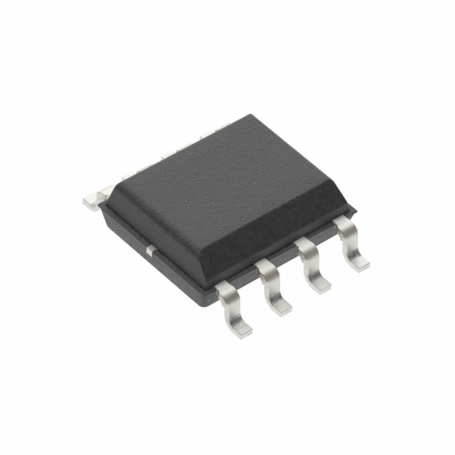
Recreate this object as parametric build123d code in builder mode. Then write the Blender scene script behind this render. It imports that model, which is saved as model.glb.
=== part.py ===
from build123d import *
import os
from math import atan2, cos, degrees, hypot, radians, sin, tan

# A pulse-width-modulation controller chip in an eight-lead small-outline package.
# Millimetres. The origin is the centre of the land pattern on the board's surface, +Z up.
# X runs along the body and Y across the leads. Leads 1 to 4 stand on the -Y side, from -X to +X,
# under the bevelled long edge. Leads 5 to 8 stand on the +Y side, from +X back to -X.

# Lead frame
lead_pitch = 1.27
leads_per_side = 4
lead_span = 5.96           # toe to toe, across the package
frame_thickness = 0.17
foot_length = 0.45         # from the leg's outer face to the toe
foot_width = 0.37
shoulder_width = 0.39      # the stretch above the cut of the dam bar
dam_bar_height = 0.72      # where the wide stretch of a leg ends, above the board
leg_splay = 7.0            # degrees from upright
shoulder_bend = 0.14       # inner radius of the bend at the top of the leg
heel_bend = 0.2            # inner radius of the bend at the foot

# Moulded body
overall_height = 1.67
standoff = 0.22
parting_height = 0.92      # of the ledge where the two halves of the mould met
frame_rise = 0.015         # how far the lead frame's top face stands above the ledge
ledge_length = 4.96
ledge_width = 3.98
ledge_thickness = 0.04     # of the lip that overhangs the rounded corners below it
ledge_corner = 0.02
upper_length = 4.69
upper_width = 3.77
upper_draft = 13.0         # degrees
lower_draft = 13.5         # degrees
lower_corner = 0.16        # radius of the lower half's upright corners
bottom_radius = 0.12       # of the edges round the underside
bevel_height = 0.49        # of the bevelled top edge above leads 1 to 4
bevel_width = 0.53
edge_radius = 0.14         # of the upper half's level edges, away from the ledge
corner_radius = 0.05       # of the upper half's corner edges

# Die pad and its tie bars
pad_length = 2.3
pad_width = 1.9
pad_downset = 0.15
pad_corner = 0.15
pad_notch_radius = 0.14
tie_bar_width = 0.2
tie_bar_proud = 0.02       # how far the cut stub stands out of the ledge
ramp_start = 0.1           # from the pad's edge to the foot of the tie bar's ramp
ramp_run = 0.26

# Lead fingers inside the body
finger_gap = 0.2           # between a finger and the die pad
finger_anchor = 0.7        # width of the anchor at an inner finger's tip
anchor_depth = 0.32
side_finger_reach = 0.55   # distance of an outer finger's tip from the package's centre line
side_finger_edge = 2.1     # outer edge of the outer fingers, from the package's centre
side_finger_root = 1.3     # where the outer fingers widen
lock_hole_radius = 0.1

# Die, with its bond pads
die_length = 1.6
die_width = 1.2
die_thickness = 0.28
attach_thickness = 0.025
attach_margin = 0.04
bond_pad_side = 0.12
bond_pad_height = 0.01
bond_pad_margin = 0.06     # from the die's edge to the bond pad

# Bond wires
wire_diameter = 0.038
ball_diameter = 0.09
ball_height = 0.03
loop_height = 0.2          # top of the loop above the die
wire_bend = 0.07
stitch_length = 0.14
stitch_width = 0.09
stitch_height = 0.022
tail_length = 0.12         # the wire's flat stretch before its stitch

# Derived places
frame_top = parting_height + frame_rise
frame_bottom = frame_top - frame_thickness
pad_top = frame_top - pad_downset
pad_bottom = pad_top - frame_thickness
die_bottom = pad_top + attach_thickness
die_top = die_bottom + die_thickness
bond_pad_top = die_top + bond_pad_height
body_half_width = upper_width / 2
row_half_length = lead_pitch * (leads_per_side - 1) / 2
finger_tip_y = pad_width / 2 + finger_gap
finger_inner_x = pad_length / 2 + finger_gap


def lead_x(place):
    """Distance along the body of the lead at this place in its row, counted from -X."""
    return -row_half_length + lead_pitch * place


def is_outer(place):
    return place in (0, leads_per_side - 1)


def leg_outer(height):
    """Distance of a leg's outer face from the centre plane at this height."""
    return lead_span / 2 - foot_length - (height - frame_thickness) * tan(radians(leg_splay))


def leg_inner(height):
    return leg_outer(height) - frame_thickness / cos(radians(leg_splay))


def gull_wing(width, floor):
    """One lead's bent strip on the -Y side at X = 0, from the body out, above a height."""
    root = body_half_width - shoulder_width
    with BuildPart() as strip:
        with BuildSketch(Plane.YZ):
            with BuildLine():
                outer = FilletPolyline(
                    (-root, frame_top),
                    (-leg_outer(frame_top), frame_top),
                    (-leg_outer(frame_thickness), frame_thickness),
                    (-lead_span / 2, frame_thickness),
                    radius=[shoulder_bend + frame_thickness, heel_bend],
                )
                inner = FilletPolyline(
                    (-lead_span / 2, 0),
                    (-leg_inner(0), 0),
                    (-leg_inner(frame_bottom), frame_bottom),
                    (-root, frame_bottom),
                    radius=[heel_bend + frame_thickness, shoulder_bend],
                )
                Line(outer @ 1, inner @ 0)
                Line(inner @ 1, outer @ 0)
            make_face()
            with Locations((-lead_span / 2, floor + overall_height / 2)):
                Rectangle(lead_span, overall_height, mode=Mode.INTERSECT)
        extrude(amount=width / 2, both=True)
    return strip.part


def inner_finger():
    """The finger of one of the middle leads on the -Y side, at X = 0: a neck and a wide anchor."""
    neck_length = body_half_width - finger_tip_y
    with BuildPart() as finger:
        with BuildSketch(Plane.XY.offset(frame_bottom)):
            with Locations((0, -finger_tip_y - neck_length / 2)):
                Rectangle(shoulder_width, neck_length)
            with Locations((0, -finger_tip_y - anchor_depth / 2)):
                Rectangle(finger_anchor, anchor_depth)
        extrude(amount=frame_thickness)
    return finger.part


def outer_finger():
    """The finger of lead 1, at its own X: it widens beside the die pad and has a locking hole."""
    x = lead_x(0)
    neck_length = body_half_width - side_finger_reach
    blade_width = side_finger_edge - finger_inner_x
    blade_length = side_finger_root - side_finger_reach
    blade_x = -(side_finger_edge + finger_inner_x) / 2
    blade_y = -(side_finger_root + side_finger_reach) / 2
    with BuildPart() as finger:
        with BuildSketch(Plane.XY.offset(frame_bottom)):
            with Locations((x, -side_finger_reach - neck_length / 2)):
                Rectangle(shoulder_width, neck_length)
            with Locations((blade_x, blade_y)):
                Rectangle(blade_width, blade_length)
            with Locations((blade_x, -side_finger_root + 2 * lock_hole_radius)):
                Circle(lock_hole_radius, mode=Mode.SUBTRACT)
        extrude(amount=frame_thickness)
    return finger.part


def lead_on_near_side(place):
    """A whole lead of the -Y row: foot, leg, shoulder and the finger inside the body."""
    x = lead_x(place)
    with BuildPart() as lead:
        with Locations((x, 0, 0)):
            add(gull_wing(foot_width, 0))
            add(gull_wing(shoulder_width, dam_bar_height))
        if place == 0:
            add(outer_finger())
        elif is_outer(place):
            add(mirror(outer_finger(), about=Plane.YZ))
        else:
            with Locations((x, 0, 0)):
                add(inner_finger())
    return lead.part


def make_leads():
    """Leads 1 to 4 along -Y from -X, then 5 to 8 along +Y from +X, as turned copies of the first row."""
    leads = []
    for turn in (0, 180):
        for place in range(leads_per_side):
            with BuildPart() as lead:
                with Locations(Rotation(0, 0, turn)):
                    add(lead_on_near_side(place))
            lead.part.label = f"lead_{len(leads) + 1}"
            leads.append(lead.part)
    return leads


def make_die_pad():
    """The sunken pad, with a tie bar at each end that ramps up to the lead frame's level."""
    bar_end = ledge_length / 2 + tie_bar_proud
    foot = pad_length / 2 + ramp_start
    head = foot + ramp_run
    with BuildPart() as die_pad:
        with BuildSketch(Plane.XY.offset(pad_bottom)):
            RectangleRounded(pad_length, pad_width, pad_corner)
            with Locations((0, -pad_width / 2), (0, pad_width / 2)):
                Circle(pad_notch_radius, mode=Mode.SUBTRACT)
        extrude(amount=frame_thickness)
        with BuildSketch(Plane.XZ):
            with BuildLine():
                Polyline(
                    (0, pad_bottom), (foot, pad_bottom), (head, frame_bottom), (bar_end, frame_bottom),
                    (bar_end, frame_top), (head, frame_top), (foot, pad_top), (0, pad_top), close=True,
                )
            make_face()
            mirror(about=Plane.YZ)
        extrude(amount=tie_bar_width / 2, both=True)
    die_pad.part.label = "die_pad"
    return die_pad.part


def make_die_attach():
    with BuildPart() as die_attach:
        with BuildSketch(Plane.XY.offset(pad_top)):
            Rectangle(die_length + 2 * attach_margin, die_width + 2 * attach_margin)
        extrude(amount=attach_thickness)
    die_attach.part.label = "die_attach"
    return die_attach.part


def bond_pad_place(number):
    """Centre of a lead's bond pad on the die: a row of four along each long edge."""
    place = (number - 1) % leads_per_side
    far_row = number > leads_per_side
    edge_x = die_length / 2 - bond_pad_margin - bond_pad_side / 2
    x = -edge_x + 2 * edge_x * place / (leads_per_side - 1)
    y = -(die_width / 2 - bond_pad_margin - bond_pad_side / 2)
    return (-x, -y) if far_row else (x, y)


def make_die():
    with BuildPart() as die:
        with BuildSketch(Plane.XY.offset(die_bottom)):
            Rectangle(die_length, die_width)
        extrude(amount=die_thickness)
        with BuildSketch(Plane.XY.offset(die_top)):
            for number in range(1, 2 * leads_per_side + 1):
                with Locations(bond_pad_place(number)):
                    Rectangle(bond_pad_side, bond_pad_side)
        extrude(amount=bond_pad_height)
    die.part.label = "die"
    return die.part


def stitch_place(number):
    """Where a lead's bond wire lands on the tip of its finger."""
    place = (number - 1) % leads_per_side
    far_row = number > leads_per_side
    if is_outer(place):
        x = -(finger_inner_x + stitch_length)
        x = x if place == 0 else -x
        y = -(side_finger_reach + stitch_length)
    else:
        x = lead_x(place)
        y = -(finger_tip_y + stitch_length)
    return (-x, -y) if far_row else (x, y)


def make_bond_wire(number):
    """Ball on the die, a loop above it, and a flattened stitch on the finger."""
    ball_x, ball_y = bond_pad_place(number)
    end_x, end_y = stitch_place(number)
    run = hypot(end_x - ball_x, end_y - ball_y)
    heading = degrees(atan2(end_y - ball_y, end_x - ball_x))
    along = Vector(cos(radians(heading)), sin(radians(heading)), 0)
    wire_plane = Plane(origin=(ball_x, ball_y, 0), x_dir=along, z_dir=along.cross(Vector(0, 0, 1)))
    stitch_plane = Plane(origin=(end_x, end_y, frame_top), x_dir=along, z_dir=(0, 0, 1))
    tail_level = frame_top + stitch_height / 2
    with BuildPart() as bond_wire:
        with BuildSketch(Plane.XY.offset(bond_pad_top)):
            with Locations((ball_x, ball_y)):
                Circle(ball_diameter / 2)
        extrude(amount=ball_height)
        with BuildLine(wire_plane) as loop:
            FilletPolyline(
                (0, bond_pad_top + ball_height / 2),
                (0, die_top + loop_height),
                (run - tail_length, tail_level),
                (run, tail_level),
                radius=[wire_bend, wire_bend],
            )
        with BuildSketch(Plane.XY.offset(bond_pad_top + ball_height / 2)):
            with Locations((ball_x, ball_y)):
                Circle(wire_diameter / 2)
        sweep(path=loop.wire())
        with BuildSketch(stitch_plane):
            Ellipse(stitch_length / 2, stitch_width / 2)
        extrude(amount=stitch_height)
        # The capillary flattens the wire where it meets the finger.
        with BuildSketch(stitch_plane):
            with Locations((-tail_length / 2, 0)):
                Rectangle(2 * tail_length + stitch_length, stitch_width)
        extrude(amount=-wire_diameter, mode=Mode.SUBTRACT)
    bond_wire.part.label = f"bond_wire_{number}"
    return bond_wire.part


def upper_half():
    """The upper half of the moulding: drafted walls, one bevelled long edge and soft edges."""
    height = overall_height - parting_height
    with BuildPart() as upper:
        with BuildSketch(Plane.XY.offset(parting_height)):
            Rectangle(upper_length, upper_width)
        extrude(amount=height, taper=upper_draft)
        knee = body_half_width - (height - bevel_height) * tan(radians(upper_draft))
        with BuildSketch(Plane.YZ):
            with BuildLine():
                Polyline(
                    (-knee - bevel_width, overall_height - 2 * bevel_height),
                    (-knee + 2 * bevel_width, overall_height + bevel_height),
                    (-knee - bevel_width, overall_height + bevel_height),
                    close=True,
                )
            make_face()
        extrude(amount=ledge_length, both=True, mode=Mode.SUBTRACT)
        foot_edges = upper.edges().group_by(Axis.Z)[0]
        fillet(upper.edges().filter_by(Plane.XY) - foot_edges, radius=edge_radius)
        corner_edges = upper.edges().filter_by(GeomType.LINE) - upper.edges().filter_by(Plane.XY)
        fillet(corner_edges, radius=corner_radius)
    return upper.part


def lower_half():
    """The lower half, whose top face is the ledge: walls that lean in to a soft-edged underside."""
    ledge_bottom = parting_height - ledge_thickness
    lean = (ledge_bottom - standoff) * tan(radians(lower_draft))
    with BuildPart() as lower:
        with BuildSketch(Plane.XY.offset(standoff)):
            RectangleRounded(ledge_length - 2 * lean, ledge_width - 2 * lean, lower_corner)
        with BuildSketch(Plane.XY.offset(ledge_bottom)):
            RectangleRounded(ledge_length, ledge_width, lower_corner)
        loft()
        fillet(lower.edges().group_by(Axis.Z)[0], radius=bottom_radius)
        with BuildSketch(Plane.XY.offset(ledge_bottom)):
            RectangleRounded(ledge_length, ledge_width, ledge_corner)
        extrude(amount=ledge_thickness)
    return lower.part


def make_moulded_body(inner_pieces):
    """One block of moulding compound, cast around everything that it holds."""
    with BuildPart() as moulded_body:
        add(upper_half())
        add(lower_half())
        for piece in inner_pieces:
            add(piece, mode=Mode.SUBTRACT)
    moulded_body.part.label = "moulded_body"
    return moulded_body.part


leads = make_leads()
die_pad = make_die_pad()
die_attach = make_die_attach()
die = make_die()
bond_wires = [make_bond_wire(number) for number in range(1, 2 * leads_per_side + 1)]
inner_pieces = [*leads, die_pad, die_attach, die, *bond_wires]
moulded_body = make_moulded_body(inner_pieces)

os.makedirs("parts", exist_ok=True)
for piece in [moulded_body, *inner_pieces]:
    export_step(piece, f"parts/{piece.label}.step")
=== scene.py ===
from math import copysign, cos, pi, radians, sin, tan

import bpy
from mathutils import Matrix, Vector, noise


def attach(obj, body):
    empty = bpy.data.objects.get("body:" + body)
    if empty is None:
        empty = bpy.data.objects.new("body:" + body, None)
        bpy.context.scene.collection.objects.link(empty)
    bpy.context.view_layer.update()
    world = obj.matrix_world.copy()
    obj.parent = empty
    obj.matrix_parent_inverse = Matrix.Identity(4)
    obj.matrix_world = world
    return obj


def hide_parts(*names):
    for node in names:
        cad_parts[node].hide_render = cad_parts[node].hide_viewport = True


# The looks of a small eight-lead moulded chip, lit and seen as in a catalogue photograph.
# Sizes are in millimetres of the part's own frame and turn into metres where a mesh is made.
# The origin is on the board under the middle of the chip. Leads 1 to 4 stand on the -Y side.
mm = 0.001

# Lead frame
lead_pitch = 1.27
leads_per_side = 4
lead_span = 5.96
frame_thickness = 0.17
foot_length = 0.45
lead_width = 0.37
leg_splay = 7.0            # degrees from upright
shoulder_bend = 0.14
heel_bend = 0.2
frame_top = 0.935

# Moulded body
overall_height = 1.67
standoff = 0.22
parting_height = 0.92
ledge_length = 4.96
ledge_width = 3.98
ledge_thickness = 0.04
ledge_corner = 0.02
upper_length = 4.69
upper_width = 3.77
upper_draft = 13.0         # degrees
bevel_height = 0.49
bevel_width = 0.53
edge_radius = 0.14         # of the level edges
corner_radius = 0.05
lower_draft = 13.5         # degrees
lower_corner = 0.16
bottom_radius = 0.12

# Details that only the looks have
worn_edge_radius = 0.28    # of the top's edge over the end by leads 1 and 8
half_overlap = 0.02        # how deep the upper half's mesh reaches into the lower half's
ledge_softening = 0.006    # rounding of the ledge's rim
root_depth = 1.6           # where a lead's visible strip starts, inside the body
die_roll = 0.02            # rounding of a lead's upper edges, left by the stamping
burr_radius = 0.006        # of its lower edges
dam_bar_start = 2.1        # where the cut dam bar begins, from the package's centre plane
dam_bar_end = 0.75         # height of its lower end on the outer face
dam_bar_slant = 0.16       # how much lower it ends on the inner face
dam_bar_flare = 0.07       # how far its sheared sides stand out at the lower face
dam_bar_upper_share = 0.75 # of that flare, at the upper face
dam_bar_weak_share = 0.3   # of that flare, on the side towards +X
dam_bar_fade = 0.05        # over which the flare begins, and the rubbed band
flare_end = (-0.03, 0.05)  # heights from the dam bar's end between which the flare begins
flare_margin = (0.04, 0.01)      # how far in from a strip's side it begins and is full
sheared_margin = (0.012, 0.002)  # the same for the bared copper
rub_start = 2.27           # where the forming tool's rubbed band begins, from the centre plane
rub_end = (-0.015, 0.01)   # heights from the dam bar's end between which the rubbed band begins
side_wobble = 0.003        # unevenness of a strip's sides
wobble_along = 9           # waves of it to the millimetre, roughly
wobble_across = 20
toe_round = 0.012          # length over which a toe's sawn end narrows
toe_taper = 0.7            # how much it narrows, as a share of that length
heel_top = 0.6             # below it, a bend is a heel
heel_shade_fall = (0.02, 0.3)  # how steeply a heel falls where its painted shade begins and is full
heel_shade_run = (0.13, 0.3)   # and how far it leads outwards there
frame_line_depth = 0.003   # groove round the body at the lead frame's lower face
frame_line_reach = 0.012   # of the groove, above and below
pad_edge_softening = 0.016

# Fineness of the meshes
path_step = 0.012
outline_step = 0.004
edge_steps = 5             # round each edge of a strip
side_parts = 6             # down each side of a strip
least_arc_steps = 6
wall_steps = 40            # up the straight part of the upper half's walls
round_steps = 20           # over its level edges
underside_steps = 12
underside_reach = 1.3      # how many bottom radii those steps climb
ring_side_parts = 24
ring_corner_steps = 8
plain_wall_levels = (0.5, 0.65)
high_wall_level = 0.83
lead_crease = 50.0         # degrees, from which a turn of the surface stays sharp
body_crease = 40.0         # and the pad's

# Camera
photo_width = 455          # pixels, and as many high
focal_length = 4011.76     # pixels
view_azimuth = 45.1776     # degrees from the X axis to the camera's side, on the -X, -Y quarter
view_elevation = 43.1377
view_roll = 5.5972
view_distance = 97.629
aim_height = 0.8
aim_right = -0.001
aim_up = -0.397
sensor_width = 36.0

# Stage and light, in metres where they are lengths
floor_half = 0.3
floor_glow = 0.98          # share of the floor's plain white that the camera and reflections see
floor_paint = 0.95         # how white the floor is for the light that falls on it
ambient_tint = (1.0, 0.98, 0.96)
ambient_level = 0.23
key_direction = (0.36, 0.70, 0.62)
key_distance = 0.2
key_size = 0.5
key_level = 0.64

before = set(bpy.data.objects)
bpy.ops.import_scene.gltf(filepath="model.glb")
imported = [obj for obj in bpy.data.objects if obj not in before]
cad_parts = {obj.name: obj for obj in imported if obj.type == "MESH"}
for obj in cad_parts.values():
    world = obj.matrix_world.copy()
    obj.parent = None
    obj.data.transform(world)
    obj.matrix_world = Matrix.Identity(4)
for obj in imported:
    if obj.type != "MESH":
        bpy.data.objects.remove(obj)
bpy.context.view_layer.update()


def leg_outer(height):
    """Distance of a leg's outer face from the centre plane at this height."""
    return lead_span / 2 - foot_length - (height - frame_thickness) * tan(radians(leg_splay))


def smooth_step(value, low, high):
    share = min(max((value - low) / (high - low), 0.0), 1.0)
    return share * share * (3 - 2 * share)


def finish_mesh(name, points, faces, crease_angle, marks):
    """A smooth-shaded object from points in millimetres. Each named mark has a value per point."""
    mesh = bpy.data.meshes.new(name)
    mesh.from_pydata([Vector(point) * mm for point in points], [], faces)
    mesh.validate()
    for mark, values in marks.items():
        layer = mesh.attributes.new(mark, "FLOAT", "POINT")
        layer.data.foreach_set("value", values)
    piece = bpy.data.objects.new(name, mesh)
    bpy.context.scene.collection.objects.link(piece)
    mesh.shade_smooth()
    bpy.context.view_layer.objects.active = piece
    piece.select_set(True)
    bpy.ops.object.shade_smooth_by_angle(angle=radians(crease_angle))
    piece.select_set(False)
    return piece


def rounded_path(corners, radii, step):
    """Points and directions along straight runs in a plane, joined by tangent arcs."""
    samples = []
    start = Vector(corners[0])
    for index, corner in enumerate(corners[1:-1]):
        corner = Vector(corner)
        entry = (corner - Vector(corners[index])).normalized()
        leave = (Vector(corners[index + 2]) - corner).normalized()
        turn = entry.angle_signed(leave)
        radius = radii[index]
        reach = radius * tan(abs(turn) / 2)
        tangent_point = corner - entry * reach
        run = (tangent_point - start).length
        count = max(int(run / step), 1)
        samples += [(start + entry * run * i / count, entry) for i in range(count)]
        count = max(int(abs(turn) * radius / step), least_arc_steps)
        side = Vector((-entry.y, entry.x)) * (-1 if turn > 0 else 1)
        centre = tangent_point + side * radius
        for i in range(count):
            spin = Matrix.Rotation(-turn * i / count, 2)
            samples.append((centre + spin @ (tangent_point - centre), spin @ entry))
        start = corner + leave * reach
    leave = (Vector(corners[-1]) - start).normalized()
    run = (Vector(corners[-1]) - start).length
    count = max(int(run / step), 1)
    samples += [(start + leave * run * i / count, leave) for i in range(count + 1)]
    return samples


def strip_section(trim):
    """A strip's cross-section as (across, up) points, softer above, and drawn in by trim."""
    half = frame_thickness / 2
    half_width = lead_width / 2
    corners = [
        (-half_width, half, die_roll, 180),
        (half_width, half, die_roll, 90),
        (half_width, -half, burr_radius, 0),
        (-half_width, -half, burr_radius, -90),
    ]
    points = []
    for across, up, radius, first in corners:
        centre_x = across - copysign(radius, across)
        centre_y = up - copysign(radius, up)
        for i in range(edge_steps + 1):
            angle = radians(first - 90 * i / edge_steps)
            points.append((centre_x + radius * cos(angle), centre_y + radius * sin(angle)))
        if across > 0 and up > 0:
            points += between(points[-1], (half_width, burr_radius - half), side_parts)
    points += between(points[-1], (-half_width, half - die_roll), side_parts)
    return [(x * (1 - trim / half_width), y * (1 - trim / half)) for x, y in points]


def between(start, end, parts):
    """The points that divide the way from start to end into equal parts."""
    return [tuple(a + (b - a) * i / parts for a, b in zip(start, end)) for i in range(1, parts)]


def lead_route():
    """The middle of a lead's strip, from inside the body to the toe, as (distance out, height)."""
    half = frame_thickness / 2
    leg_shift = half / cos(radians(leg_splay))
    shoulder_level = frame_top - half
    corners = [
        (root_depth, shoulder_level),
        (leg_outer(shoulder_level) - leg_shift, shoulder_level),
        (leg_outer(half) - leg_shift, half),
        (lead_span / 2, half),
    ]
    return rounded_path(corners, [shoulder_bend + half, heel_bend + half], path_step)


def flare_at(out, height):
    """How much of the sheared dam bar is left at a point of the strip, from 0 to 1."""
    began = smooth_step(out, dam_bar_start - dam_bar_fade, dam_bar_start + dam_bar_fade)
    return began * smooth_step(height, dam_bar_end + flare_end[0], dam_bar_end + flare_end[1])


def rub_at(out, height):
    """How far the forming tool has rubbed the strip at a point, from 0 to 1."""
    began = smooth_step(out, rub_start - dam_bar_fade, rub_start + dam_bar_fade)
    return began * smooth_step(height, dam_bar_end + rub_end[0], dam_bar_end + rub_end[1])


def heel_shade_at(spot, heading):
    """How much painted shade the heel's concave bend gets, from 0 to 1, standing in for the dark
    surroundings it reflects.
    """
    if spot.y >= heel_top:
        return 0.0
    return smooth_step(-heading.y, *heel_shade_fall) * smooth_step(heading.x, *heel_shade_run)


def make_lead(number):
    """A lead's visible strip: die-rolled edges, the sheared stub of the dam bar and a sawn-off toe."""
    place = (number - 1) % leads_per_side
    middle = lead_pitch * (place - (leads_per_side - 1) / 2)
    turn = -1 if number > leads_per_side else 1
    half = frame_thickness / 2
    half_width = lead_width / 2
    flare_band = [half_width - margin for margin in flare_margin]
    sheared_band = [half_width - margin for margin in sheared_margin]
    route = lead_route()
    last = len(route) - 1
    points = []
    marks = {"sheared": [], "painted_heel_shade": [], "rubbed": []}
    for index, (spot, heading) in enumerate(route):
        up = Vector((-heading.y, heading.x))
        to_end = (last - index) * path_step
        section = strip_section(max(0.0, toe_round - to_end) * toe_taper)
        for across, rise in section:
            point = spot + up * rise
            depth = 0.5 - rise / frame_thickness
            outward = copysign(1, across)
            sheared = flare_at(point.x, point.y + dam_bar_slant * depth)
            side = smooth_step(abs(across), *flare_band)
            edge = smooth_step(abs(across), *sheared_band)
            upper = smooth_step(rise, 0.0, half)
            share = dam_bar_upper_share + (1 - dam_bar_upper_share) * depth
            if outward == turn:
                share *= dam_bar_weak_share
            place_in_noise = Vector(
                (spot.x * wobble_along, spot.y * wobble_along + number, across * wobble_across)
            )
            wobble = side_wobble * noise.noise(place_in_noise)
            x = across + (dam_bar_flare * sheared * share + wobble) * side * outward
            points.append((turn * (middle + x), -turn * point.x, point.y))
            marks["sheared"].append(edge * sheared)
            # Where the heel's concave bend gets painted shade in its colour.
            marks["painted_heel_shade"].append(upper * heel_shade_at(spot, heading))
            marks["rubbed"].append(upper * rub_at(point.x, point.y))
    size = len(section)
    faces = []
    for ring in range(last):
        for i in range(size):
            j = (i + 1) % size
            a, b = ring * size, (ring + 1) * size
            faces.append((a + j, a + i, b + i, b + j))
    faces.append(tuple(range(size)))
    faces.append(tuple(reversed(range(last * size, (last + 1) * size))))
    return finish_mesh(f"lead_{number}_strip", points, faces, lead_crease, marks)


def rounded_ring(low, high, corner, height):
    """Points round a rectangle with rounded corners, anticlockwise from above."""
    centres = [
        (high[0] - corner, low[1] + corner, -90),
        (high[0] - corner, high[1] - corner, 0),
        (low[0] + corner, high[1] - corner, 90),
        (low[0] + corner, low[1] + corner, 180),
    ]
    arcs = []
    for x, y, first in centres:
        angles = [radians(first + 90 * i / ring_corner_steps) for i in range(ring_corner_steps + 1)]
        arcs.append([(x + corner * cos(angle), y + corner * sin(angle), height) for angle in angles])
    points = []
    for index, arc in enumerate(arcs):
        points += arc
        points += between(arc[-1], arcs[(index + 1) % 4][0], ring_side_parts)
    return points


def stack_rings(rings):
    """Faces of a closed form through rings of equal size, lowest first."""
    size = len(rings[0])
    points = [point for ring in rings for point in ring]
    faces = [tuple(reversed(range(size)))]
    for ring in range(len(rings) - 1):
        for i in range(size):
            j = (i + 1) % size
            a, b = ring * size, (ring + 1) * size
            faces.append((a + i, a + j, b + j, b + i))
    top = (len(rings) - 1) * size
    faces.append(tuple(range(top, top + size)))
    return points, faces


def wall_outline(corners, radii):
    """A wall as fine (distance in, height) points, from its foot up."""
    return [spot for spot, heading in rounded_path(corners, radii, outline_step)]


def inset_at(outline, height):
    """How far in a wall stands at this height."""
    for low, high in zip(outline, outline[1:]):
        if high.y >= height:
            share = (height - low.y) / max(high.y - low.y, 1e-6)
            return low.x + (high.x - low.x) * min(max(share, 0.0), 1.0)
    return outline[-1].x


def upper_rings():
    """Rings of the upper half, from just under the ledge to the flat top."""
    slope = tan(radians(upper_draft))
    rise = overall_height - parting_height
    knee = rise - bevel_height
    top_edge = rise * slope
    corners = [
        (0, parting_height),
        (top_edge, overall_height),
        (top_edge + bevel_width, overall_height),
    ]
    worn = wall_outline(corners, [worn_edge_radius])
    plain = wall_outline(corners, [edge_radius])
    bevelled = wall_outline(
        [
            (0, parting_height),
            (knee * slope, parting_height + knee),
            (knee * slope + bevel_width, overall_height),
            (knee * slope + 2 * bevel_width, overall_height),
        ],
        [edge_radius, edge_radius],
    )
    straight = overall_height - worn_edge_radius
    heights = [parting_height - half_overlap]
    for i in range(wall_steps + 1):
        heights.append(parting_height + (straight - parting_height) * i / wall_steps)
    for i in range(1, round_steps + 1):
        heights.append(straight + worn_edge_radius * sin(pi / 2 * i / round_steps))
    rings = []
    for height in heights:
        on_wall = max(height, parting_height)
        inset = inset_at(plain, on_wall)
        low = (
            -upper_length / 2 + inset_at(worn, on_wall),
            -upper_width / 2 + inset_at(bevelled, on_wall),
        )
        high = (upper_length / 2 - inset, upper_width / 2 - inset)
        rings.append(rounded_ring(low, high, corner_radius, height))
    return rings


def lower_rings():
    """Rings of the lower half, from the flat underside to the ledge and its sharp-cornered lip."""
    slope = tan(radians(lower_draft))
    ledge_bottom = parting_height - ledge_thickness
    lean = (ledge_bottom - standoff) * slope
    wall = wall_outline(
        [(lean + 2 * bottom_radius, standoff), (lean, standoff), (0, ledge_bottom)],
        [bottom_radius],
    )
    groove = frame_top - frame_thickness
    levels = [(standoff, inset_at(wall, standoff), lower_corner)]
    for i in range(1, underside_steps + 1):
        height = standoff + bottom_radius * underside_reach * (1 - cos(pi / 2 * i / underside_steps))
        levels.append((height, inset_at(wall, height), lower_corner))
    wall_levels = [(height, 0) for height in plain_wall_levels]
    wall_levels += [
        (groove - frame_line_reach, 0),
        (groove, frame_line_depth),
        (groove + frame_line_reach, 0),
        (high_wall_level, 0),
    ]
    for height, depth in wall_levels:
        levels.append((height, inset_at(wall, height) + depth, lower_corner))
    levels += [
        (ledge_bottom, 0, lower_corner),
        (ledge_bottom, 0, ledge_corner),
        (parting_height - ledge_softening, 0, ledge_corner),
        (parting_height - ledge_softening / 3, ledge_softening / 3, ledge_corner),
        (parting_height, ledge_softening, ledge_corner),
    ]
    rings = []
    for height, inset, corner in levels:
        high = (ledge_length / 2 - inset, ledge_width / 2 - inset)
        rings.append(rounded_ring((-high[0], -high[1]), high, corner, height))
    return rings


def make_body():
    """Both halves of the moulding, as one piece that stands for the moulded body."""
    points, faces = stack_rings(lower_rings())
    more_points, more_faces = stack_rings(upper_rings())
    shift = len(points)
    points = points + more_points
    faces = faces + [tuple(i + shift for i in face) for face in more_faces]
    return finish_mesh("body_shell", points, faces, body_crease, {})


def make_pad():
    """The die pad with softened stamped edges, so that its cut stubs catch the light."""
    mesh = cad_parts["die_pad"].data.copy()
    piece = bpy.data.objects.new("pad_plate", mesh)
    bpy.context.scene.collection.objects.link(piece)
    soften = piece.modifiers.new("edges", "BEVEL")
    soften.width = pad_edge_softening * mm
    soften.segments = 3
    soften.limit_method = "ANGLE"
    soften.angle_limit = radians(body_crease)
    return piece


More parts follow.
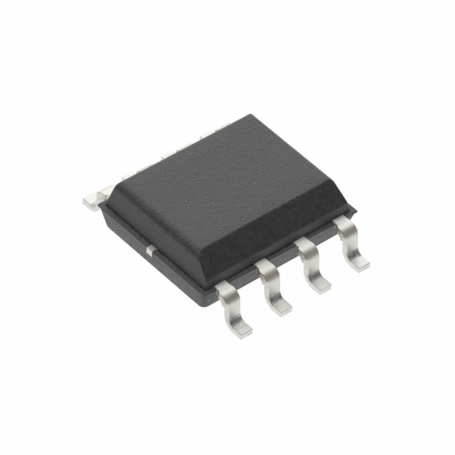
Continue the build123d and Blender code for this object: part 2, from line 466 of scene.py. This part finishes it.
class Nodes:
    """Short calls for a material's node tree."""

    def __init__(self, name):
        self.material = bpy.data.materials.new(name)
        self.material.use_nodes = True
        self.tree = self.material.node_tree
        self.shader = self.tree.nodes["Principled BSDF"]
        self.place = self.add("ShaderNodeTexCoord").outputs["Object"]

    def add(self, kind, **values):
        node = self.tree.nodes.new(kind)
        for key, value in values.items():
            setattr(node, key, value)
        return node

    def link(self, source, target):
        self.tree.links.new(source, target)

    def noise(self, per_mm, detail=4.0, roughness=0.55, stretch=(1, 1, 1)):
        """Noise with this many features to the millimetre."""
        mapping = self.add("ShaderNodeMapping")
        mapping.inputs["Scale"].default_value = [per_mm / mm * s for s in stretch]
        self.link(self.place, mapping.inputs["Vector"])
        texture = self.add("ShaderNodeTexNoise")
        texture.inputs["Scale"].default_value = 1.0
        texture.inputs["Detail"].default_value = detail
        texture.inputs["Roughness"].default_value = roughness
        self.link(mapping.outputs["Vector"], texture.inputs["Vector"])
        return texture.outputs["Fac"]

    def cells(self, per_mm):
        """Cells of this many to the millimetre, as a Voronoi texture node."""
        texture = self.add("ShaderNodeTexVoronoi", feature="F1")
        texture.inputs["Scale"].default_value = per_mm / mm
        self.link(self.place, texture.inputs["Vector"])
        return texture

    def specks(self, per_mm, rarity, radius):
        """Small dots at the middles of some cells, the fewer the nearer rarity is to 1."""
        texture = self.cells(per_mm)
        dot = self.spread(texture.outputs["Distance"], radius * 0.6, radius, 1.0, 0.0)
        chosen = self.math("GREATER_THAN", texture.outputs["Color"], rarity)
        return self.math("MULTIPLY", dot, chosen)

    def upward(self, low, high):
        """0 where the part's surface faces less than low upwards, and 1 from high on."""
        split = self.add("ShaderNodeSeparateXYZ")
        self.link(self.add("ShaderNodeTexCoord").outputs["Normal"], split.inputs["Vector"])
        return self.spread(split.outputs["Z"], low, high, 0.0, 1.0)

    def ramp(self, source, stops):
        """A colour ramp from (position, colour) pairs."""
        ramp = self.add("ShaderNodeValToRGB")
        elements = ramp.color_ramp.elements
        while len(elements) < len(stops):
            elements.new(0.5)
        for element, (position, colour) in zip(elements, stops):
            element.position = position
            element.color = (*colour, 1)
        self.link(source, ramp.inputs["Fac"])
        return ramp.outputs["Color"]

    def spread(self, source, low, high, to_low, to_high):
        """Maps low..high of a value to to_low..to_high."""
        node = self.add("ShaderNodeMapRange")
        node.inputs["From Min"].default_value = low
        node.inputs["From Max"].default_value = high
        node.inputs["To Min"].default_value = to_low
        node.inputs["To Max"].default_value = to_high
        self.link(source, node.inputs["Value"])
        return node.outputs["Result"]

    def math(self, operation, first, second):
        """One operation on two sockets or numbers."""
        node = self.add("ShaderNodeMath", operation=operation)
        for socket, value in zip(node.inputs, (first, second)):
            if isinstance(value, (int, float)):
                socket.default_value = value
            else:
                self.link(value, socket)
        return node.outputs["Value"]

    def mix(self, share, first, second, blend="MIX"):
        """Two colours or sockets mixed by share."""
        node = self.add("ShaderNodeMix", data_type="RGBA", blend_type=blend)
        for name, value in (("Factor", share), ("A", first), ("B", second)):
            socket = node.inputs[name]
            if isinstance(value, (int, float)):
                socket.default_value = value
            elif isinstance(value, tuple):
                socket.default_value = (*value, 1)
            else:
                self.link(value, socket)
        return node.outputs["Result"]

    def mark(self, name):
        """A named mark of the mesh."""
        return self.add("ShaderNodeAttribute", attribute_name=name).outputs["Fac"]

    def bump(self, height, strength, distance):
        """Relief of this many millimetres, on top of what is already there."""
        node = self.add("ShaderNodeBump")
        node.inputs["Strength"].default_value = strength
        node.inputs["Distance"].default_value = distance * mm
        self.link(height, node.inputs["Height"])
        if self.shader.inputs["Normal"].is_linked:
            self.link(self.shader.inputs["Normal"].links[0].from_socket, node.inputs["Normal"])
        self.link(node.outputs["Normal"], self.shader.inputs["Normal"])


def mould_compound():
    """Black filled epoxy with the fine grain of a spark-eroded mould, painted shade of that grain in its
    mottle and pits, and a few pale filler specks painted on upward faces as glints.
    """
    nodes = Nodes("mould_compound")
    cloud = nodes.noise(1.4, 4, 0.6)
    mottle = nodes.noise(7, 3, 0.6)
    grain = nodes.noise(18, 2, 0.6)
    top = nodes.upward(0.8, 1.0)
    base = nodes.ramp(cloud, [(0.3, (0.042, 0.042, 0.046)), (0.7, (0.055, 0.055, 0.060))])
    # Painted shade: the mottle and the pits darken the colour, partly as uneven tone and partly for the
    # shading of the mould's grain. They are full on upward faces and at 0.8 of that on steep ones.
    grain_shade_share = nodes.math("MAXIMUM", top, 0.8)
    blotches_and_grain_shade = nodes.math("MULTIPLY", nodes.spread(mottle, 0.36, 0.64, 1.0, 0.0), grain_shade_share)
    base = nodes.mix(blotches_and_grain_shade, base, (0.38, 0.38, 0.40), "MULTIPLY")
    pits_and_grain_shade = nodes.math("MULTIPLY", nodes.spread(grain, 0.38, 0.62, 1.0, 0.0), grain_shade_share)
    base = nodes.mix(pits_and_grain_shade, base, (0.45, 0.45, 0.45), "MULTIPLY")
    # Painted glints: pale filler specks, put on upward faces only, where they stand in for the glints that
    # the light makes there. They also get a small bump.
    specks = nodes.math("MULTIPLY", nodes.specks(9, 0.66, 0.3), top)
    base = nodes.mix(specks, base, (0.15, 0.15, 0.15))
    nodes.link(base, nodes.shader.inputs["Base Color"])
    nodes.link(nodes.spread(mottle, 0.3, 0.7, 0.38, 0.52), nodes.shader.inputs["Roughness"])
    nodes.shader.inputs["IOR"].default_value = 1.8
    nodes.bump(grain, 0.8, 0.02)
    nodes.bump(nodes.math("MULTIPLY", mottle, nodes.math("MAXIMUM", top, 0.3)), 0.7, 0.03)
    nodes.bump(specks, 0.8, 0.02)
    return nodes.material


def tin_plate():
    """Matte tin over copper alloy, thin where the dam bar was sheared, with streaky painted shade in the
    heels' concave bends.
    """
    nodes = Nodes("tin_plate")
    cloud = nodes.noise(5, 4, 0.6)
    fine = nodes.noise(30, 3, 0.6)
    heel_shade_streaks = nodes.noise(14, 3, 0.6, (0.5, 1, 1))
    tin = nodes.ramp(cloud, [(0.3, (0.74, 0.73, 0.69)), (0.7, (0.88, 0.87, 0.83))])
    tin = nodes.mix(nodes.mark("rubbed"), tin, (0.74, 0.69, 0.64))
    copper = nodes.ramp(fine, [(0.3, (0.56, 0.46, 0.41)), (0.7, (0.74, 0.67, 0.62))])
    bare = nodes.math("MULTIPLY", nodes.mark("sheared"), nodes.spread(cloud, 0.4, 0.6, 0.1, 0.8))
    plated = nodes.mix(bare, tin, copper)
    # Painted shade: the heel's concave bend is darkened in streaks, standing in for the dark surroundings
    # that it reflects.
    heel_shade_share = nodes.math("MULTIPLY", nodes.mark("painted_heel_shade"), nodes.spread(heel_shade_streaks, 0.38, 0.66, 1.0, 0.2))
    nodes.link(nodes.mix(heel_shade_share, plated, (0.38, 0.37, 0.35)), nodes.shader.inputs["Base Color"])
    nodes.shader.inputs["Metallic"].default_value = 1.0
    nodes.link(nodes.spread(cloud, 0.3, 0.7, 0.42, 0.56), nodes.shader.inputs["Roughness"])
    nodes.bump(fine, 0.3, 0.004)
    nodes.bump(nodes.noise(7, 3, 0.5), 0.35, 0.010)
    return nodes.material


def pad_metal():
    """Copper alloy with a thin silver wash."""
    nodes = Nodes("pad_metal")
    cloud = nodes.noise(6, 4, 0.6)
    tone = nodes.ramp(cloud, [(0.3, (0.72, 0.64, 0.58)), (0.7, (0.86, 0.82, 0.78))])
    nodes.link(tone, nodes.shader.inputs["Base Color"])
    nodes.shader.inputs["Metallic"].default_value = 1.0
    nodes.link(nodes.spread(cloud, 0.3, 0.7, 0.3, 0.45), nodes.shader.inputs["Roughness"])
    nodes.bump(nodes.noise(30, 3, 0.6), 0.3, 0.004)
    return nodes.material


def silver_adhesive():
    nodes = Nodes("silver_adhesive")
    flakes = nodes.cells(40).outputs["Distance"]
    tone = nodes.ramp(flakes, [(0.1, (0.62, 0.62, 0.60)), (0.6, (0.40, 0.40, 0.39))])
    nodes.link(tone, nodes.shader.inputs["Base Color"])
    nodes.shader.inputs["Metallic"].default_value = 0.4
    nodes.link(nodes.spread(flakes, 0.1, 0.6, 0.4, 0.7), nodes.shader.inputs["Roughness"])
    nodes.bump(nodes.noise(25, 3, 0.6), 0.5, 0.005)
    return nodes.material


def silicon():
    """A polished die whose passivation shows faint blocks of circuitry."""
    nodes = Nodes("silicon")
    blocks = nodes.add("ShaderNodeTexBrick")
    blocks.inputs["Scale"].default_value = 6 / mm
    blocks.inputs["Color1"].default_value = (0.13, 0.15, 0.20, 1)
    blocks.inputs["Color2"].default_value = (0.20, 0.19, 0.24, 1)
    blocks.inputs["Mortar"].default_value = (0.30, 0.29, 0.24, 1)
    nodes.link(nodes.place, blocks.inputs["Vector"])
    nodes.link(blocks.outputs["Color"], nodes.shader.inputs["Base Color"])
    nodes.shader.inputs["Metallic"].default_value = 0.5
    nodes.link(nodes.spread(nodes.noise(8, 2, 0.5), 0.3, 0.7, 0.12, 0.22), nodes.shader.inputs["Roughness"])
    return nodes.material


def gold_wire():
    nodes = Nodes("gold_wire")
    drawn = nodes.noise(30, 2, 0.5)
    tone = nodes.ramp(drawn, [(0.3, (0.83, 0.60, 0.24)), (0.7, (0.93, 0.71, 0.33))])
    nodes.link(tone, nodes.shader.inputs["Base Color"])
    nodes.shader.inputs["Metallic"].default_value = 1.0
    nodes.link(nodes.spread(drawn, 0.3, 0.7, 0.2, 0.32), nodes.shader.inputs["Roughness"])
    return nodes.material


def dress(piece, material):
    piece.data.materials.clear()
    piece.data.materials.append(material)


def make_part():
    compound = mould_compound()
    tin = tin_plate()
    body = make_body()
    dress(body, compound)
    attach(body, "root")
    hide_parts("moulded_body")
    for number in range(1, 2 * leads_per_side + 1):
        strip = make_lead(number)
        dress(strip, tin)
        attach(strip, "root")
        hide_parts(f"lead_{number}")
    pad = make_pad()
    dress(pad, pad_metal())
    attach(pad, "root")
    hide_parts("die_pad")
    wire = gold_wire()
    carried = {"die_attach": silver_adhesive(), "die": silicon()}
    for number in range(1, 2 * leads_per_side + 1):
        carried[f"bond_wire_{number}"] = wire
    for node, material in carried.items():
        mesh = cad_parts[node].data
        mesh.materials.clear()
        mesh.materials.append(material)


def make_floor():
    """A white sweep that stays white for the camera and keeps a faint shadow."""
    corners = [(x * floor_half, y * floor_half, 0) for x, y in ((-1, -1), (1, -1), (1, 1), (-1, 1))]
    mesh = bpy.data.meshes.new("floor")
    mesh.from_pydata(corners, [], [(0, 1, 2, 3)])
    floor = bpy.data.objects.new("floor", mesh)
    bpy.context.scene.collection.objects.link(floor)
    material = bpy.data.materials.new("white_floor")
    material.use_nodes = True
    tree = material.node_tree
    tree.nodes.clear()
    path = tree.nodes.new("ShaderNodeLightPath")
    seen = tree.nodes.new("ShaderNodeMath")
    seen.operation = "MAXIMUM"
    tree.links.new(path.outputs["Is Camera Ray"], seen.inputs[0])
    mirrored = tree.nodes.new("ShaderNodeMath")
    mirrored.operation = "MAXIMUM"
    tree.links.new(path.outputs["Is Glossy Ray"], mirrored.inputs[0])
    tree.links.new(path.outputs["Is Transmission Ray"], mirrored.inputs[1])
    tree.links.new(mirrored.outputs[0], seen.inputs[1])
    share = tree.nodes.new("ShaderNodeMath")
    share.operation = "MULTIPLY"
    share.inputs[1].default_value = floor_glow
    tree.links.new(seen.outputs[0], share.inputs[0])
    paint = tree.nodes.new("ShaderNodeBsdfDiffuse")
    paint.inputs["Color"].default_value = (floor_paint, floor_paint, floor_paint, 1)
    glow = tree.nodes.new("ShaderNodeEmission")
    glow.inputs["Color"].default_value = (1, 1, 1, 1)
    mixer = tree.nodes.new("ShaderNodeMixShader")
    tree.links.new(share.outputs[0], mixer.inputs["Fac"])
    tree.links.new(paint.outputs[0], mixer.inputs[1])
    tree.links.new(glow.outputs[0], mixer.inputs[2])
    output = tree.nodes.new("ShaderNodeOutputMaterial")
    tree.links.new(mixer.outputs[0], output.inputs["Surface"])
    mesh.materials.append(material)


def make_world():
    """Dim surroundings for the light, and plain white for the camera."""
    world = bpy.data.worlds.new("studio")
    bpy.context.scene.world = world
    world.use_nodes = True
    tree = world.node_tree
    tree.nodes.clear()
    path = tree.nodes.new("ShaderNodeLightPath")
    dim = tree.nodes.new("ShaderNodeBackground")
    dim.inputs["Color"].default_value = (*ambient_tint, 1)
    dim.inputs["Strength"].default_value = ambient_level
    white = tree.nodes.new("ShaderNodeBackground")
    white.inputs["Color"].default_value = (1, 1, 1, 1)
    mixer = tree.nodes.new("ShaderNodeMixShader")
    tree.links.new(path.outputs["Is Camera Ray"], mixer.inputs["Fac"])
    tree.links.new(dim.outputs[0], mixer.inputs[1])
    tree.links.new(white.outputs[0], mixer.inputs[2])
    output = tree.nodes.new("ShaderNodeOutputWorld")
    tree.links.new(mixer.outputs[0], output.inputs["Surface"])


def make_lamp(name, direction, distance, size, level):
    """An area lamp aimed at the chip. At level 1 it lights a facing white card to white."""
    towards = Vector(direction).normalized()
    data = bpy.data.lights.new(name, "AREA")
    data.shape = "DISK"
    data.size = size
    data.energy = level * pi * pi * (distance ** 2 + size ** 2 / 4)
    lamp = bpy.data.objects.new(name, data)
    lamp.location = Vector((0, 0, overall_height * mm / 2)) + towards * distance
    lamp.rotation_euler = towards.to_track_quat("Z", "Y").to_euler()
    bpy.context.scene.collection.objects.link(lamp)


def make_camera():
    azimuth, elevation, roll = radians(view_azimuth), radians(view_elevation), radians(view_roll)
    back = Vector((-cos(azimuth) * cos(elevation), -sin(azimuth) * cos(elevation), sin(elevation)))
    level_right = Vector((sin(azimuth), -cos(azimuth), 0))
    level_up = back.cross(level_right)
    right = level_right * cos(roll) + level_up * sin(roll)
    up = level_up * cos(roll) - level_right * sin(roll)
    spot = Vector((0, 0, aim_height)) + back * view_distance + right * aim_right + up * aim_up
    data = bpy.data.cameras.new("camera")
    data.sensor_width = sensor_width
    data.lens = focal_length / photo_width * sensor_width
    data.clip_start = 0.005
    data.clip_end = 5.0
    camera = bpy.data.objects.new("camera", data)
    camera.matrix_world = Matrix.Translation(spot * mm) @ Matrix((right, up, back)).transposed().to_4x4()
    bpy.context.scene.collection.objects.link(camera)
    bpy.context.scene.camera = camera


make_part()
make_floor()
make_world()
make_lamp("key", key_direction, key_distance, key_size, key_level)
make_camera()
bpy.context.scene.view_settings.view_transform = "Standard"
